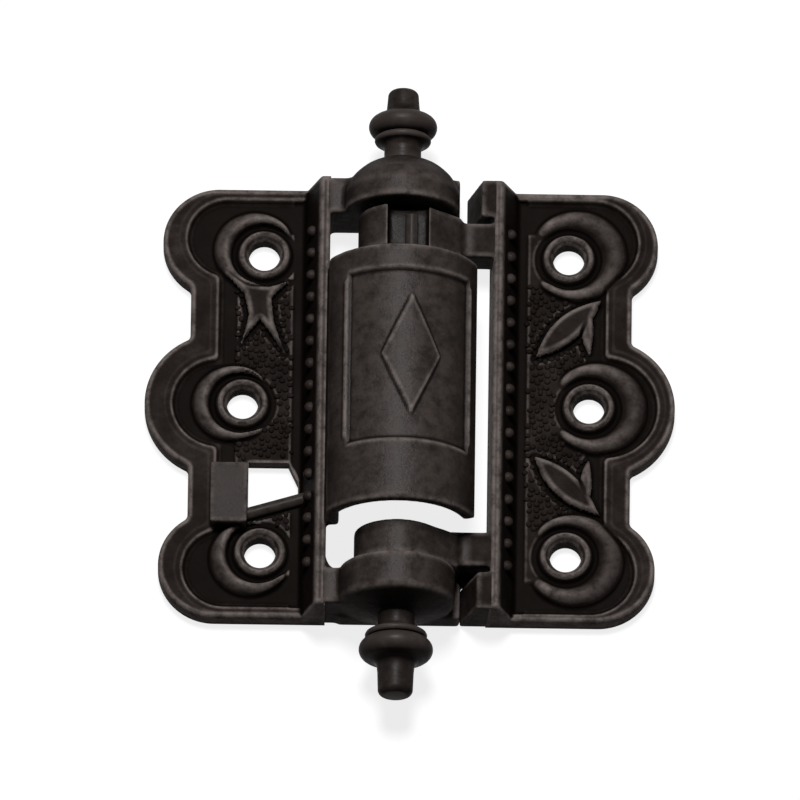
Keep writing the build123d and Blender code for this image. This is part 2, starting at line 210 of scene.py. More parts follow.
def lobed_loop(shape, inner):
    """Points round the edge of a leaf: bars and arcs first, then nudged on to the softened line."""
    end_u, end_v = shape["end"] - shape["end_r"], shape["half"] - shape["end_r"]
    mid_u = shape["mid"] - shape["mid_r"]
    end_turn = math.acos((shape["notch"] - end_u) / shape["end_r"])
    mid_turn = math.acos((shape["notch"] - mid_u) / shape["mid_r"])
    low_lobe = arc(end_u, -end_v, shape["end_r"], -math.pi / 2, end_turn)
    mid_lobe = arc(mid_u, 0.0, shape["mid_r"], -mid_turn, mid_turn)
    top_lobe = arc(end_u, end_v, shape["end_r"], -end_turn, math.pi / 2)
    outer_runs = [
        run((inner, -shape["half"]), low_lobe[0]),
        low_lobe,
        run(low_lobe[-1], mid_lobe[0]),
        mid_lobe,
        run(mid_lobe[-1], top_lobe[0]),
        top_lobe,
        run(top_lobe[-1], (inner, shape["half"])),
    ]
    outer = np.vstack([part[:-1] for part in outer_runs])
    for _ in range(NUDGES):
        d = lobed_depth(outer[:, 0], outer[:, 1], shape)
        du = (lobed_depth(outer[:, 0] + NUDGE, outer[:, 1], shape) - d) / NUDGE
        dv = (lobed_depth(outer[:, 0], outer[:, 1] + NUDGE, shape) - d) / NUDGE
        size = np.maximum(du**2 + dv**2, 0.2)
        loose = outer[:, 0] > inner + 1.0
        outer[loose, 0] -= (d * du / size)[loose]
        outer[loose, 1] -= (d * dv / size)[loose]
    loop = np.vstack([outer, run((inner, shape["half"]), (inner, -shape["half"]))[:-1]])
    keep = np.linalg.norm(loop - np.roll(loop, 1, axis=0), axis=1) > 0.05
    return loop[keep]


print("points round a screw hole", len(hole_loop(0, 0, SCREW_R)))

# %% [markdown]
# ## The ornament's lines
# Each leaf has a little foliage between its screw holes: pairs of blades on the door leaf, and a pointed
# star on the frame leaf. A blade has two bowed sides from its stem to its tip. The star's sides are
# drawn in a little toward its middle.


# %% Blades and star
STAR_PULL = 0.05


def bowed(start, pull, stop, t):
    return (1 - t) ** 2 * start + 2 * t * (1 - t) * pull + t**2 * stop


def blade_loop(stem, tip, *bows):
    """Two bowed sides from the stem to the tip of one leaf blade."""
    stem, tip = np.asarray(stem, float), np.asarray(tip, float)
    t = np.linspace(0, 1, 24)[:, None]
    near, far = [bowed(stem, 2 * np.asarray(bow, float) - 0.5 * (stem + tip), tip, t) for bow in bows]
    return np.vstack([near, far[::-1][1:-1]])


def star_loop(corners, centre):
    """Closed loop through tips and inner corners, each side drawn in a little toward the centre."""
    corners, centre = np.asarray(corners, float), np.asarray(centre, float)
    t = np.linspace(0, 1, 10)[:-1, None]
    sides = []
    for a, b in zip(corners, np.roll(corners, -1, axis=0)):
        sides.append(bowed(a, 0.5 * (a + b) * (1 - STAR_PULL) + centre * STAR_PULL, b, t))
    return np.vstack(sides)


STAR_CENTRE = (20.2, 16.4)
FRAME_STAR = [(25.8, 20.6), (21.4, 18.3), (18.9, 18.0), (15.9, 19.0), (18.4, 16.2), (18.0, 12.6)]
FRAME_STAR += [(16.5, 7.9), (20.1, 12.7), (22.7, 9.4), (21.8, 13.6), (22.5, 16.8)]
FRAME_BLADES = [star_loop(FRAME_STAR, STAR_CENTRE)]
LONG_BLADE = [(28.8, 16.6), (19.4, 7.6), (22.6, 13.6), (25.2, 10.6)]
SHORT_BLADE = [(27.2, 15.4), (27.2, 8.0), (25.9, 11.6), (27.7, 11.8)]
DOOR_BLADES = []
for end in (1, -1):
    for blade in (LONG_BLADE, SHORT_BLADE):
        DOOR_BLADES.append(blade_loop(*[(u, end * v) for u, v in blade]))
print("ornaments on the frame leaf", len(FRAME_BLADES), "and on the door leaf", len(DOOR_BLADES))

# %% [markdown]
# ## Soft corners
# A casting has no sharp steps. These small rules give the soft ramps, rounded ridges and hollow corners
# from which the relief is made.


# %% Ramps, ridges and the rib
RIB_STEP, RIB_SOFT = 0.02, 45


def ramp(x, low, high):
    t = np.clip((x - low) / (high - low), 0, 1)
    return t * t * (3 - 2 * t)


def edge_round(distance, radius):
    d = np.clip(distance, 0, radius)
    return radius - np.sqrt(np.maximum(radius**2 - (radius - d) ** 2, 0))


def rounded(depth, wide):
    """Rise of a half-round ridge: steep at its foot, level from this width on."""
    t = np.clip(depth / wide, 0, 1)
    return np.sqrt(1 - (1 - t) ** 2)


def rib_height(u, rib):
    """Section of the rib, rounded at its top corner and hollowed where it meets the plate."""
    grid = np.arange(rib["inner"] - 3, rib["channel"] + 8, RIB_STEP)
    raw = np.interp(grid, [rib["outer"], rib["foot"]], [rib["top"], GROUND_Z - 0.2])
    window = np.hanning(RIB_SOFT)
    soft = np.convolve(np.pad(raw, RIB_SOFT // 2, mode="edge"), window / window.sum(), mode="valid")
    return np.interp(u, grid, soft)


def crescent_rise(u, v, hole, crescent):
    """Rise of one crescent, from 0 at its two edges to 1 on its crest, fading toward the pin."""
    across_u, along_v = u - hole[0], v - hole[1]
    near = np.hypot(across_u, along_v)
    from_inner = near - crescent["inner"]
    centre_u, centre_v = crescent["shift"], crescent["lean"] * hole[1]
    from_outer = crescent["outer"] - np.hypot(across_u - centre_u, along_v - centre_v)
    wide = from_inner + from_outer
    t = np.clip(from_inner / np.maximum(wide, 0.05), 0, 1)
    crest, quarter = crescent["crest"], 0.5 * np.pi
    rise = np.where(t < crest, np.sin(quarter * t / crest), np.cos(quarter * (t - crest) / (1 - crest)))
    outward = across_u / np.maximum(near, 0.1)
    rise = rise * ramp(wide, 0.1, 1.2) * ramp(outward, -0.98, -0.45)
    return rise * ((from_inner > 0) & (from_outer > 0))


print("foot of the frame rib at", round(float(rib_height(20.0, FRAME_LEAF["rib"])), 2), "mm")

# %% [markdown]
# ## The relief, as a height at every point
# The ornament was carved in a wooden pattern before it was cast, so nothing undercuts and the whole
# face can be written as one height for each point: flat rim, sunk groove and ground, a dish and a lip
# round each screw hole with its crescent, the foliage, a channel beside the rib, a slot for the spring's
# tail, and the tall rib next to the pin. The open ground is marked on the way, for its pebbles.


# %% Height of the relief
RIM_DIP, RIM_STEP, SEAT_R, SINK_SLOPE = 0.2, 0.5, 5.0, 1.3
MOAT_WIDE, MOAT_DEEP, BLADE_ROUND, CHANNEL_DEEP = 0.3, 0.55, 0.75, 0.55
SLOT_WIDE, SLOT_Z, SLOT_REACH = 1.5, 0.9, 23.4


def rim_and_ground(u, v, leaf):
    rim = lobed_depth(u, v, leaf["rim"], 0.8)
    z = RIM_Z - RIM_DIP * ramp(rim, -1.2, 0.0)
    z -= RIM_STEP * ramp(rim, -0.05, 0.3)
    z -= (RIM_Z - RIM_DIP - RIM_STEP - GROOVE_Z) * ramp(rim, 0.2, 2.2)
    between = 1 - ramp(np.abs(v), LOBE_Y - 1.2, LOBE_Y)
    z += (GROUND_Z - GROOVE_Z) * (ramp(rim, 2.3, 2.9) * between + ramp(rim, 3.6, 5.5) * (1 - between))
    return z, (rim > 2.6) & (np.abs(v) < LOBE_Y - 0.6)


def seat_screw(z, ground, u, v, hole, crescent):
    near = np.hypot(u - hole[0], v - hole[1])
    dish = LIP_Z - (LIP_Z - DISH_Z) * ramp(near, LIP_R - 0.25, DISH_R)
    z = np.where(near < SEAT_R + 0.2, dish + (z - dish) * ramp(near, DISH_R, SEAT_R), z)
    rise = crescent_rise(u, v, hole, crescent)
    z = np.maximum(z, DISH_Z + (CRESCENT_Z - DISH_Z) * rise)
    z = np.where(near < LIP_R, np.minimum(z, LIP_Z - SINK_SLOPE * (LIP_R - near)), z)
    return z, ground & (rise < 0.05) & (near > SEAT_R)


def raise_blade(z, ground, points, blade):
    depth = inside_distance(points, blade)
    z = z - MOAT_DEEP * np.exp(-(((depth + MOAT_WIDE) / MOAT_WIDE) ** 2)) * ground
    lift = GROUND_Z + (CRESCENT_Z - GROUND_Z) * rounded(depth, BLADE_ROUND)
    return np.where(depth > 0, np.maximum(z, lift), z), ground & (depth < -MOAT_WIDE)


def cut_tail_slot(z, ground, u, v):
    below_tail = COIL_LOW - TAIL_SLOPE * u - v
    slot = ramp(below_tail, -0.2, 0.0) * (1 - ramp(below_tail, SLOT_WIDE - 0.2, SLOT_WIDE)) * (u < SLOT_REACH)
    return z + (np.minimum(z, SLOT_Z) - z) * slot, ground & (slot < 0.01)


def relief_height(u, v, leaf, blades):
    z, ground = rim_and_ground(u, v, leaf)
    for hole in leaf["holes"]:
        z, ground = seat_screw(z, ground, u, v, hole, leaf["crescent"])
    for blade in blades:
        z, ground = raise_blade(z, ground, np.column_stack([u, v]), blade)
    channel = leaf["rib"]["channel"]
    inner_half = ramp(leaf["rim"]["half"] - np.abs(v), -0.2, 0.6)
    z = z - CHANNEL_DEEP * (1 - ramp(u, channel - 0.3, channel + 0.3)) * inner_half
    ground = ground & (u > channel + 0.2)
    if leaf["side"] < 0:
        z, ground = cut_tail_slot(z, ground, u, v)
    return np.maximum(z, rib_height(u, leaf["rib"])), ground


rim_spot = np.array([35.5]), np.array([0.0])
print("rim of the frame leaf at height", relief_height(*rim_spot, FRAME_LEAF, FRAME_BLADES)[0].round(2))

# %% [markdown]
# ## From heights to a solid plate
# A Delaunay triangulation joins a fine grid of points to the outline, so the lobes and the holes keep
# clean edges. The back is a second, coarser triangulation of the same loops, and walls join the two.
# While the plate is made, it is marked where it gets pebbles and where it gets a painted shade: in its low
# places and on the rib's slope.


# %% Points and triangles of a plate
GRID_SHIFT, GRID_CLEAR = (0.07, 0.05), 0.16


def triangles_between(points, loops_at, inside):
    edges = []
    for first, count in loops_at:
        edges += [(first + i, first + (i + 1) % count) for i in range(count)]
    made = delaunay_2d_cdt([Vector(p) for p in points], edges, [], 0, 1e-7)
    flat = np.array([tuple(p) for p in made[0]])
    tris = np.array([t for t in made[2] if len(t) == 3])
    middle = flat[tris].mean(1)
    return flat, tris[inside(middle) > 0]


def plate_room(points, leaf, window):
    """How far inside the plate a point lies, clear of its holes and its window."""
    u, v = points.T
    left = np.minimum(lobed_depth(u, v, leaf["edge"]), u - leaf["rib"]["inner"])
    for hole_u, hole_v in leaf["holes"]:
        left = np.minimum(left, np.hypot(u - hole_u, v - hole_v) - SCREW_R)
    if window is not None:
        left = np.minimum(left, -inside_distance(points, np.array(window)))
    return left


def plate_grid(leaf, room):
    """Grid points inside the plate, every other row shifted by half a step."""
    us = np.arange(leaf["rib"]["inner"], leaf["edge"]["mid"], GRID)
    vs = np.arange(-LEAF_HALF, LEAF_HALF, GRID)
    uu, vv = np.meshgrid(us + GRID_SHIFT[0], vs + GRID_SHIFT[1])
    uu = uu + np.where(np.arange(len(vs)) % 2 == 0, 0.0, GRID / 2)[:, None]
    grid = np.column_stack([uu.ravel(), vv.ravel()])
    return grid[room(grid) > GRID_CLEAR]


def plate_loops(leaf, window):
    loops = [lobed_loop(leaf["edge"], leaf["rib"]["inner"])]
    loops += [hole_loop(u, v, SCREW_R) for u, v in leaf["holes"]]
    if window is not None:
        loops.append(np.vstack([run(a, b)[:-1] for a, b in zip(window, window[1:] + window[:1])]))
    return loops


print("loops of the door leaf", [len(loop) for loop in plate_loops(DOOR_LEAF, None)])

# %% [markdown]
# ## The two plates
# The frame leaf's plate has a window for the spring's tail, and beside it a place for the lug. The door
# leaf's plate has neither.

# %% Build the plates
EDGE_R, EDGE_PART, LOWEST_Z = 0.65, 0.8, 0.4
WINDOW_OUT, WINDOW_IN, WINDOW_TOP = 21.4, 14.3, -9.0
WINDOW_CORNERS = [
    (WINDOW_OUT, WINDOW_TOP),
    (WINDOW_OUT, COIL_LOW - TAIL_SLOPE * WINDOW_OUT),
    (WINDOW_IN, COIL_LOW - TAIL_SLOPE * WINDOW_IN),
    (WINDOW_IN, WINDOW_TOP - 3.0),
    (WINDOW_IN + 1.4, WINDOW_TOP),
]
LUG_NEAR, LUG_FAR, LUG_BOTTOM, LUG_TOP = 21.5, 26.8, -19.2, -9.9
LUG_CORNERS = [(LUG_NEAR, LUG_BOTTOM), (LUG_FAR, LUG_BOTTOM), (LUG_FAR, LUG_TOP), (LUG_NEAR, LUG_TOP)]


def plate_painted_shade(u, z, rib):
    """Painted shade: on the rib's slope toward its foot, elsewhere in the low places."""
    on_rib = np.abs(rib_height(u, rib) - z) < 0.02
    return np.where(on_rib, 0.95 * ramp(rib["top"] - z, 0.3, 1.6), 1 - ramp(z, 1.3, 2.7))


def build_plate(name, leaf, blades, window=None):
    side, rib = leaf["side"], leaf["rib"]

    def room(points):
        return plate_room(points, leaf, window)

    loops = plate_loops(leaf, window)
    starts = np.cumsum([0] + [len(loop) for loop in loops])
    loops_at = [(int(first), len(loop)) for first, loop in zip(starts, loops)]
    flat, tris = triangles_between(np.vstack([*loops, plate_grid(leaf, room)]), loops_at, room)
    u, v = flat[:, 0], flat[:, 1]
    z, ground = relief_height(u, v, leaf, blades)
    if window is not None:
        ground &= inside_distance(flat, np.array(window)) < -0.7
        ground &= inside_distance(flat, np.array(LUG_CORNERS)) < -0.4
    edge = np.minimum(lobed_depth(u, v, leaf["edge"]), u - rib["inner"])
    z = z - edge_round(np.maximum(edge, 0), EDGE_R) * EDGE_PART
    top = np.column_stack([across(side, u), v, np.maximum(z, LOWEST_Z)])
    back_flat, back_tris = triangles_between(np.vstack(loops), loops_at, room)
    back_u = np.where(back_flat[:, 0] < rib["inner"] + 0.02, rib["back"], back_flat[:, 0])
    back = np.column_stack([across(side, back_u), back_flat[:, 1], np.zeros(len(back_flat))])
    faces = tris.tolist() + (back_tris[:, ::-1] + len(top)).tolist()
    for first, count in loops_at:
        for i in range(count):
            a, b = first + i, first + (i + 1) % count
            faces.append((a, b, b + len(top), a + len(top)))
    plate = make_piece(name, np.vstack([top, back]), faces, 55)
    clean_back = np.zeros(len(back))
    mark(plate, "pebbled", np.concatenate([ground, clean_back]))
    # A painted shade, strongest on the rib's slope and in the low places.
    mark(plate, "painted_shade", np.concatenate([plate_painted_shade(u, z, rib), clean_back]))
    return plate


frame_plate = build_plate("frame_leaf_plate", FRAME_LEAF, FRAME_BLADES, WINDOW_CORNERS)
door_plate = build_plate("door_leaf_plate", DOOR_LEAF, DOOR_BLADES)

# %% [markdown]
# ## Shapes round the pin
# The knuckles, the barrels and the shield are turned or extruded round the pin's axis. Small helpers
# make closed solids: a prism from a section, a block, an upright from a plan, and a ring from a turned
# profile.


# %% Prisms and turned rings
def drawn_out(first, last):
    """Closed solid between two matching loops of points."""
    count = len(first)
    faces = [list(range(count))[::-1], list(range(count, 2 * count))]
    faces += [(i, (i + 1) % count, count + (i + 1) % count, count + i) for i in range(count)]
    return np.vstack([first, last]), faces


def prism(section, y_from, y_to):
    """A section in x and z, measured from the pin axis, drawn out along the pin."""
    x, z = np.asarray(section, float).T
    ends = [np.column_stack([x + AXIS_X, np.full(len(x), y), z + AXIS_Z]) for y in (y_from, y_to)]
    return drawn_out(*ends)


def upright(plan, z_from, z_to):
    """A plan in x from the pin axis and y, drawn up from one height to another."""
    x, y = np.asarray(plan, float).T
    return drawn_out(*[np.column_stack([x + AXIS_X, y, np.full(len(x), z)]) for z in (z_from, z_to)])


def bar(x_from, x_to, y_from, y_to, z_from, z_to):
    """Closed block, in reach from the pin axis and height above the back."""
    low, high = z_from - AXIS_Z, z_to - AXIS_Z
    return prism([(x_from, low), (x_to, low), (x_to, high), (x_from, high)], y_from, y_to)


def turned_ring(profile, segments=72):
    """Closed solid: a loop of (radius, y) points turned about the pin axis."""
    profile = np.asarray(profile, float)
    count = len(profile)
    points = []
    for a in np.linspace(0, 2 * math.pi, segments, endpoint=False):
        x, z = profile[:, 0] * math.sin(a) + AXIS_X, profile[:, 0] * math.cos(a) + AXIS_Z
        points.append(np.column_stack([x, profile[:, 1], z]))
    faces = []
    for k in range(segments):
        here, there = k * count, ((k + 1) % segments) * count
        for i in range(count):
            j = (i + 1) % count
            faces.append((here + i, here + j, there + j, there + i))
    return np.vstack(points), faces


def corner_fill(x, y, radius):
    """Plan of the hollow fillet in the corner between a wall at x and a wall at y."""
    a = np.radians(np.linspace(180, 270, 16))
    hollow = np.column_stack([x + radius + radius * np.cos(a), y + radius + radius * np.sin(a)])
    return np.vstack([[(x - 0.4, y + radius)], hollow, [(x + radius, y - 0.4), (x - 0.4, y - 0.4)]])


def sector(radius, start_deg, stop_deg, count=60):
    """Arc points, with angles counted from straight up, clockwise toward the door leaf."""
    a = np.radians(np.linspace(start_deg, stop_deg, count))
    return np.column_stack([radius * np.sin(a), radius * np.cos(a)])


print("a block has", len(bar(0, 1, 0, 1, 0, 1)[1]), "faces")

# %% [markdown]
# ## Cast corners
# Where a knuckle meets a rib, molten iron leaves a rounded inside corner. The parts are laid into each
# other, fused on a fine voxel grid, and the surface is relaxed a few times, which rounds every corner
# by about the same radius, as sand and wear do.


# %% Fuse solids into one casting
VOXEL, RELAX = 0.27, 7


def neighbour_mean(points, edges):
    total = np.zeros_like(points)
    count = np.zeros(len(points))
    for a, b in ((0, 1), (1, 0)):
        np.add.at(total, edges[:, a], points[edges[:, b]])
        np.add.at(count, edges[:, a], 1)
    return total / np.maximum(count, 1)[:, None]


def mesh_arrays(mesh):
    """Points, point normals and edges of a mesh, as arrays."""
    points, normals = np.empty(len(mesh.vertices) * 3), np.empty(len(mesh.vertices) * 3)
    mesh.vertices.foreach_get("co", points)
    mesh.vertices.foreach_get("normal", normals)
    edges = np.empty(len(mesh.edges) * 2, int)
    mesh.edges.foreach_get("vertices", edges)
    return points.reshape(-1, 3), normals.reshape(-1, 3), edges.reshape(-1, 2)


def plain_mesh(holder, name):
    """The evaluated shape of an object as a plain mesh; the object itself is removed."""
    shape = holder.evaluated_get(bpy.context.evaluated_depsgraph_get())
    mesh = bpy.data.meshes.new_from_object(shape)
    mesh.name = name
    bpy.data.objects.remove(holder)
    return mesh


def fuse_casting(name, solids, voxel=VOXEL, relax=RELAX, shape=None):
    points, faces = [], []
    for solid_points, solid_faces in solids:
        first = sum(map(len, points))
        points.append(solid_points)
        faces += [[first + i for i in f] for f in solid_faces]
    rough = bpy.data.meshes.new(name + "_rough")
    rough.from_pydata(np.vstack(points).tolist(), [], faces)
    holder = link_object(name + "_rough", rough)
    remesh = holder.modifiers.new("fuse", "REMESH")
    remesh.mode = "VOXEL"
    remesh.voxel_size = voxel
    mesh = plain_mesh(holder, name)
    points, _, edges = mesh_arrays(mesh)
    for _ in range(relax):
        points = points * 0.5 + neighbour_mean(points, edges) * 0.5
    points[:, 2] = np.maximum(points[:, 2], 0.0)
    if shape is not None:
        points = shape(points)
    mesh.vertices.foreach_set("co", (points * MM).ravel())
    mesh.update()
    return dress_mesh(mesh, name, 60)


print("voxels of", VOXEL, "mm, relaxed", RELAX, "times")

# %% [markdown]
# ## Frame leaf: knuckles
# The frame leaf carries two knuckles that reach down to the back like a D. The upper one ends in a dome
# and the lower one is blunt, with a foot that runs out beside it. Each is a prism with a turned cap, laid
# into blocks that join it to the rib.

# %% The frame leaf's knuckles
KNUCKLE_R, KNUCKLE_IN, DOME_LONG, SEAT_RING_R = 8.3, 27.3, 5.2, 2.9
TOP_DOME_Y, BOTTOM_DOME_Y = 35.6, 34.2
BORE_R, FOOT_REACH, FOOT_Z, SHADE_SHEET_Z, SHADE_SHEET_Y = 2.3, 9.05, 3.4, 1.45, -24.4

frame_solids = []
rib_in, rib_top = FRAME_LEAF["rib"]["inner"], FRAME_LEAF["rib"]["top"]
cap_start = (KNUCKLE_R, -DOME_LONG - 0.5)
lower_d = np.vstack([sector(KNUCKLE_R, -90, 90, 40), [(KNUCKLE_R, -AXIS_Z), (-KNUCKLE_R, -AXIS_Z)]])
dome = [cap_start, (KNUCKLE_R, -DOME_LONG), (8.1, -4.6), (7.75, -3.8), (7.2, -2.9), (6.45, -2.1)]
dome += [(5.5, -1.3), (4.5, -0.75), (3.6, -0.35), (SEAT_RING_R, 0.0)]
blunt = [cap_start, (KNUCKLE_R, -1.9), (8.05, -1.45), (7.4, -1.2), (5.2, -0.6), (SEAT_RING_R, 0.0)]
bore = [(BORE_R - 0.6, 0.0), (BORE_R - 0.6, -DOME_LONG - 0.5)]
for end, dome_y, cap, foot_z in ((-1, BOTTOM_DOME_Y, blunt, FOOT_Z), (1, TOP_DOME_Y, dome, AXIS_Z)):
    shoulder = dome_y - DOME_LONG
    frame_solids.append(prism(lower_d, end * KNUCKLE_IN, end * shoulder))
    frame_solids.append(turned_ring([(r, end * (dome_y + y)) for r, y in cap + bore]))
    frame_solids.append(bar(-KNUCKLE_R, KNUCKLE_R, end * (shoulder - 0.5), end * LEAF_HALF, 0.0, foot_z))
    for reach, short, top in ((-3.0, 1.4, AXIS_Z), (-6.6, 0.3, rib_top)):
        frame_solids.append(bar(-rib_in - 0.3, reach, end * KNUCKLE_IN, end * (LEAF_HALF - short), 0.0, top))
frame_solids.append(bar(3.0, FOOT_REACH, -LEAF_HALF, -KNUCKLE_IN, 0.0, FOOT_Z))
# The thin foot and its tab under the door leaf's lower arm are a sheet of iron that stands for the shade in
# the gap beside the lower knuckle, so that the floor does not show through there.
frame_solids.append(bar(4.2, FOOT_REACH + 2.2, -KNUCKLE_IN + 0.1, SHADE_SHEET_Y, 0.0, SHADE_SHEET_Z))
frame_solids.append(bar(4.2, FOOT_REACH, -KNUCKLE_IN - 1.0, SHADE_SHEET_Y, 0.0, SHADE_SHEET_Z))
frame_solids.append(upright(corner_fill(-rib_in, -KNUCKLE_IN, 2.4), 0.0, AXIS_Z))
print("knuckles from", len(frame_solids), "solids")

# %% [markdown]
# ## Frame leaf: shield
# Between the knuckles a curved shield hides the spring. It is a bent plate round the pin, joined to the
# rib at its left and open at its right. After it is fused with the knuckles, its points are moved: the
# wall at its lower left is cut back, and a sunk panel with a plain lozenge is pressed into its face.

# %% The shield and its panel
SHIELD_R, SHIELD_WALL, SHIELD_TOP, SHIELD_BOTTOM, SHIELD_RIGHT = 11.5, 1.8, 18.5, -20.7, 73.0
PANEL_TURN, PANEL_HALF_WIDE, PANEL_Y, PANEL_HALF_LONG, PANEL_DEEP = 8.5, 9.9, 1.6, 13.1, 0.45
LOZENGE_WIDE, LOZENGE_LONG, LOZENGE_STEP, LOZENGE_CROWN = 4.6, 9.6, 0.42, 0.10
WALL_CUT, WALL_IN, FADE_TOP, FADE_LOW = 4.6, 7.5, -8.0, -26.5

shield_left = math.degrees(math.asin(rib_in / SHIELD_R))
inner_left = math.degrees(math.asin((rib_in - SHIELD_WALL) / (SHIELD_R - SHIELD_WALL)))
wall_foot = [(-rib_in - 0.4, 0.4 - AXIS_Z), (-rib_in + SHIELD_WALL, 0.4 - AXIS_Z)]
outer_face = sector(SHIELD_R, SHIELD_RIGHT, -shield_left)
inner_face = sector(SHIELD_R - SHIELD_WALL, -inner_left, SHIELD_RIGHT)
rib_core = bar(-11.3, -rib_in - 0.05, 0.3 - LEAF_HALF, LEAF_HALF - 0.3, 0.1, rib_top - 0.25)
shield = prism(np.vstack([outer_face, wall_foot, inner_face]), SHIELD_BOTTOM, SHIELD_TOP)


def cut_wall(x, y, z):
    """Slide the lower end of the shield's left wall up along the pin, most of all at the back."""
    cut = SHIELD_BOTTOM + WALL_CUT * ramp(1.0 - z, 0.0, 7.0) * ramp(-x, WALL_IN, WALL_IN + 0.8)
    wall = (x < -WALL_IN) & (z < 1.0)
    upper = FADE_TOP + (y - FADE_TOP) * (cut - FADE_TOP) / (SHIELD_BOTTOM - FADE_TOP)
    lower = FADE_LOW + (y - FADE_LOW) * (cut - FADE_LOW) / (SHIELD_BOTTOM - FADE_LOW)
    above = wall & (y < FADE_TOP) & (y >= SHIELD_BOTTOM)
    below = wall & (y < SHIELD_BOTTOM) & (y > FADE_LOW)
    return np.where(above, upper, np.where(below, lower, y))


def sink_panel(points):
    """Press the panel into the shield's outer face and raise the lozenge in it."""
    x, y, z = points[:, 0] - AXIS_X, points[:, 1], points[:, 2] - AXIS_Z
    radius, turn = np.hypot(x, z), np.degrees(np.arctan2(x, z))
    y = cut_wall(x, y, z)
    face = (np.abs(radius - SHIELD_R) < 0.5) & (turn > -60)
    face &= (y > SHIELD_BOTTOM + 0.4) & (y < SHIELD_TOP - 0.4)
    s = np.radians(turn - PANEL_TURN) * SHIELD_R
    t = y - PANEL_Y
    inset = np.minimum(PANEL_HALF_WIDE - np.abs(s), PANEL_HALF_LONG - np.abs(t))
    lift = -PANEL_DEEP * ramp(inset, -0.15, 0.35)
    fillet = np.exp(-(((PANEL_HALF_WIDE - np.abs(s) + 0.35) / 0.4) ** 2))
    lift += 0.22 * fillet * ramp(PANEL_HALF_LONG - 1.0 - np.abs(t), -0.5, 0.5)
    lozenge = 1 - np.abs(s) / LOZENGE_WIDE - np.abs(t) / LOZENGE_LONG
    lift += LOZENGE_STEP * ramp(lozenge, 0.0, 0.07) + LOZENGE_CROWN * ramp(lozenge, 0.1, 0.7)
    grow = np.where(face, (radius + lift) / np.maximum(radius, 0.1), 1.0)
    return np.column_stack([AXIS_X + x * grow, y, AXIS_Z + z * grow])


frame_solids = [shield, rib_core] + frame_solids
frame_hinge_side = fuse_casting("frame_leaf_hinge_side", frame_solids, shape=sink_panel)

# %% [markdown]
# ## Door leaf: barrels on arms
# The door leaf turns on two plain barrels, each on a short square arm. The upper barrel has an open
# notch at its front, where the end of the spring pushes. Next to the knuckles the leaf's inner wall
# leans back, so that it clears them as it swings.

# %% The door leaf's hinge side
BARREL_R, BARREL_OUT, TOP_BARREL_IN, BOTTOM_BARREL_IN = 6.2, 27.0, 20.5, 21.7
NOTCH_LEFT, NOTCH_RIGHT, NOTCH_FLOOR = 2.0, 3.9, 3.6
WEB_NEAR, WEB_FAR, WEB_LOW, ARM_IN, ARM_OUT, ARM_Z = 4.0, 8.6, 0.6, 21.2, 26.4, 2.0
LOWER_CORNER_FOOT, UPPER_CORNER_FOOT = 8.8, 9.3

door_solids = []
notch_start = math.degrees(math.asin(NOTCH_RIGHT / BARREL_R))
notch_stop = 360 - math.degrees(math.asin(NOTCH_LEFT / BARREL_R))
notch_bottom = [(-NOTCH_LEFT, NOTCH_FLOOR), (NOTCH_RIGHT, NOTCH_FLOOR)]
notched = np.vstack([sector(BARREL_R, notch_start, notch_stop), notch_bottom])
full_round = sector(BARREL_R, 0, 360, 73)[:-1]
web_top = math.sqrt(BARREL_R**2 - WEB_NEAR**2)
web = [(WEB_NEAR, web_top), (WEB_FAR, WEB_LOW), (WEB_FAR, ARM_Z - AXIS_Z), (WEB_NEAR, ARM_Z - AXIS_Z)]
for barrel, start, stop in (
    (notched, TOP_BARREL_IN, BARREL_OUT),
    (full_round, -BARREL_OUT, -BOTTOM_BARREL_IN),
):
    door_solids.append(prism(barrel, start, stop))
    door_solids.append(prism(web, start, stop))
door_top = DOOR_LEAF["rib"]["top"]
for end, corner_foot in ((-1, LOWER_CORNER_FOOT), (1, UPPER_CORNER_FOOT)):
    corner = [(corner_foot, 0), (11.5, door_top), (14.2, door_top - 0.15), (14.2, 0)]
    corner = [(x, z - AXIS_Z) for x, z in corner]
    door_solids.append(bar(3.0, 13.8, end * ARM_IN, end * ARM_OUT, ARM_Z, AXIS_Z))
    door_solids.append(prism(corner, end * KNUCKLE_IN, end * (LEAF_HALF - 0.05)))
door_solids.append(bar(13.3, 14.2, 0.3 - LEAF_HALF, LEAF_HALF - 0.3, 0.1, door_top - 0.25))
door_hinge_side = fuse_casting("door_leaf_hinge_side", door_solids)

# %% [markdown]
# ## The lug that takes the spring's tail
# A small block on the frame leaf, beside the window, catches the straight end of the spring. Its top is
# a little crowned and its corners are rounded, so it starts as a box and is fused like the rest.

# %% The tail lug
lug_box = bar(-LUG_FAR, -LUG_NEAR, LUG_BOTTOM, LUG_TOP, 0.3, 5.0)
lug = fuse_casting("frame_leaf_tail_lug", [lug_box], voxel=0.25, relax=10)

# %% [markdown]
# ## What repeats
# Beads and pebbles repeat one small shape many times, which is a job for Geometry Nodes. Each tree has
# named inputs and ends in the same way: its instances become real faces, and they get their material.
# The result is kept as a plain mesh.


# %% Helpers for Geometry Nodes
CAST_IRON = bpy.data.materials.new("cast_iron")


def node_tree(name, *inputs):
    tree = bpy.data.node_groups.new(name, "GeometryNodeTree")
    for label, kind in [("Geometry", "Geometry"), *inputs, ("Finish", "Material")]:
        tree.interface.new_socket(label, in_out="INPUT", socket_type="NodeSocket" + kind)
    tree.interface.new_socket("Geometry", in_out="OUTPUT", socket_type="NodeSocketGeometry")
    return tree, tree.nodes.new("NodeGroupInput")


def join(tree, *links):
    """Link nodes by the names of their sockets."""
    for start, output, stop, entry in links:
        tree.links.new(start.outputs[output], stop.inputs[entry])


